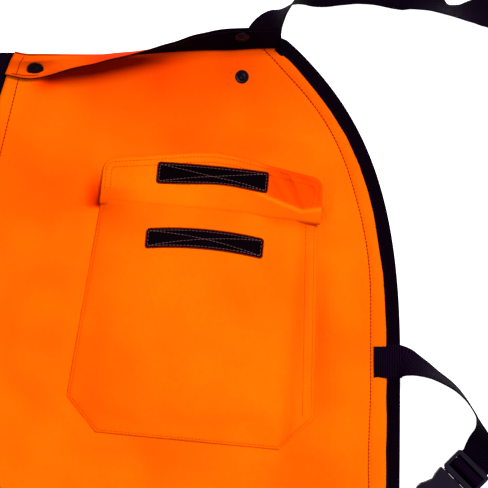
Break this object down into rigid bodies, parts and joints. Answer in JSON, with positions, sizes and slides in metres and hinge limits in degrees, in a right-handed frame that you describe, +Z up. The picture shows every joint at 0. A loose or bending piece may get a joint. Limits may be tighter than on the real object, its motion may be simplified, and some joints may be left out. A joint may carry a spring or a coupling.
{
  "type": "chainsaw chaps",
  "caption": "Apron chainsaw chaps laid flat: padded orange leg panels, bellows pocket with flap, snap-down waist flaps, waist belt ends and side-release leg straps.",
  "frame": {"origin": "on the ground in the middle of the chaps: centred across the legs, and along them between the hem and the top of the standing waist flap", "axes": "+X towards the wearer's left leg, +Y from the hem to the waist, +Z up out of the front face"},
  "size_m": [1.0634, 1.0377, 0.0424],
  "materials": {
    "orange_cloth": "hi-vis orange coated twill, matt",
    "black_lining": "black woven polyester lining",
    "flap_facing": "black woven facing",
    "binding_tape": "black ribbed edge tape",
    "pad_fibre": "off-white long-fibre protective layers",
    "strap_webbing": "black ribbed polyester webbing",
    "belt_webbing": "black herringbone webbing",
    "buckle_plastic": "black moulded acetal, satin",
    "stud_metal": "dark lacquered brass press stud",
    "loop_tape": "black loop tape",
    "hook_tape": "black hook tape"
  },
  "bodies": {
    "chaps": {"left_shell": "orange_cloth", "left_cut_pad": "pad_fibre", "left_lining": "black_lining", "left_outer_binding": "binding_tape", "left_inner_binding": "binding_tape", "left_outer_tabs": "strap_webbing", "left_thigh_buckle_socket": "buckle_plastic", "left_thigh_inner_strap": "strap_webbing", "left_knee_buckle_socket": "buckle_plastic", "left_knee_inner_strap": "strap_webbing", "left_calf_buckle_socket": "buckle_plastic", "left_calf_inner_strap": "strap_webbing", "right_shell": "orange_cloth", "right_cut_pad": "pad_fibre", "right_lining": "black_lining", "right_outer_binding": "binding_tape", "right_inner_binding": "binding_tape", "right_outer_tabs": "strap_webbing", "right_thigh_buckle_socket": "buckle_plastic", "right_thigh_inner_strap": "strap_webbing", "right_knee_buckle_socket": "buckle_plastic", "right_knee_inner_strap": "strap_webbing", "right_calf_buckle_socket": "buckle_plastic", "right_calf_inner_strap": "strap_webbing", "front_gusset": "black_lining", "left_flap_snapped": "orange_cloth", "left_flap_snapped_facing": "flap_facing", "panel_studs": "stud_metal", "panel_stud_rivets": "stud_metal", "snapped_cap": "stud_metal", "snapped_socket": "stud_metal", "pocket_front": "orange_cloth", "pocket_gusset": "orange_cloth", "pocket_loop_tape": "loop_tape", "left_waist_belt": "belt_webbing", "right_waist_belt": "belt_webbing", "waist_buckle_prongs": "buckle_plastic", "waist_buckle_socket": "buckle_plastic"},
    "left_waist_flap": {"left_flap_loose": "orange_cloth", "left_flap_loose_facing": "flap_facing", "loose_cap": "stud_metal", "loose_socket": "stud_metal"},
    "right_waist_flap": {"right_flap": "orange_cloth", "right_flap_facing": "flap_facing", "right_flap_caps": "stud_metal", "right_flap_sockets": "stud_metal"},
    "pocket_flap": {"pocket_flap": "orange_cloth", "pocket_hook_tape": "hook_tape"},
    "left_thigh_prongs": {"left_thigh_strap": "strap_webbing", "left_thigh_buckle_prongs": "buckle_plastic"},
    "left_knee_prongs": {"left_knee_strap": "strap_webbing", "left_knee_buckle_prongs": "buckle_plastic"},
    "left_calf_prongs": {"left_calf_strap": "strap_webbing", "left_calf_buckle_prongs": "buckle_plastic"},
    "right_thigh_prongs": {"right_thigh_strap": "strap_webbing", "right_thigh_buckle_prongs": "buckle_plastic"},
    "right_knee_prongs": {"right_knee_strap": "strap_webbing", "right_knee_buckle_prongs": "buckle_plastic"},
    "right_calf_prongs": {"right_calf_strap": "strap_webbing", "right_calf_buckle_prongs": "buckle_plastic"}
  },
  "joints": [
    {"name": "left_flap_close", "type": "hinge", "parent": "chaps", "child": "left_waist_flap", "pos_m": [0.2, 0.4707, 0.0109], "axis": [1, 0, 0], "range_deg": [0, 120]},
    {"name": "right_flap_open", "type": "hinge", "parent": "chaps", "child": "right_waist_flap", "pos_m": [-0.14, 0.4707, 0.0109], "axis": [-1, 0, 0], "range_deg": [0, 120]},
    {"name": "pocket_flap_close", "type": "hinge", "parent": "chaps", "child": "pocket_flap", "pos_m": [0.104, 0.3379, 0.0149], "axis": [0.9954, -0.0958, 0], "range_deg": [0, 171]},
    {"name": "left_thigh_buckle_release", "type": "slide", "parent": "chaps", "child": "left_thigh_prongs", "axis": [0.7071, 0.7071, 0], "range_m": [0, 0.032]},
    {"name": "left_knee_buckle_release", "type": "slide", "parent": "chaps", "child": "left_knee_prongs", "axis": [0.7071, 0.7071, 0], "range_m": [0, 0.032]},
    {"name": "left_calf_buckle_release", "type": "slide", "parent": "chaps", "child": "left_calf_prongs", "axis": [0.7071, 0.7071, 0], "range_m": [0, 0.032]},
    {"name": "right_thigh_buckle_release", "type": "slide", "parent": "chaps", "child": "right_thigh_prongs", "axis": [-0.7071, 0.7071, 0], "range_m": [0, 0.032]},
    {"name": "right_knee_buckle_release", "type": "slide", "parent": "chaps", "child": "right_knee_prongs", "axis": [-0.7071, 0.7071, 0], "range_m": [0, 0.032]},
    {"name": "right_calf_buckle_release", "type": "slide", "parent": "chaps", "child": "right_calf_prongs", "axis": [-0.7071, 0.7071, 0], "range_m": [0, 0.032]}
  ]
}
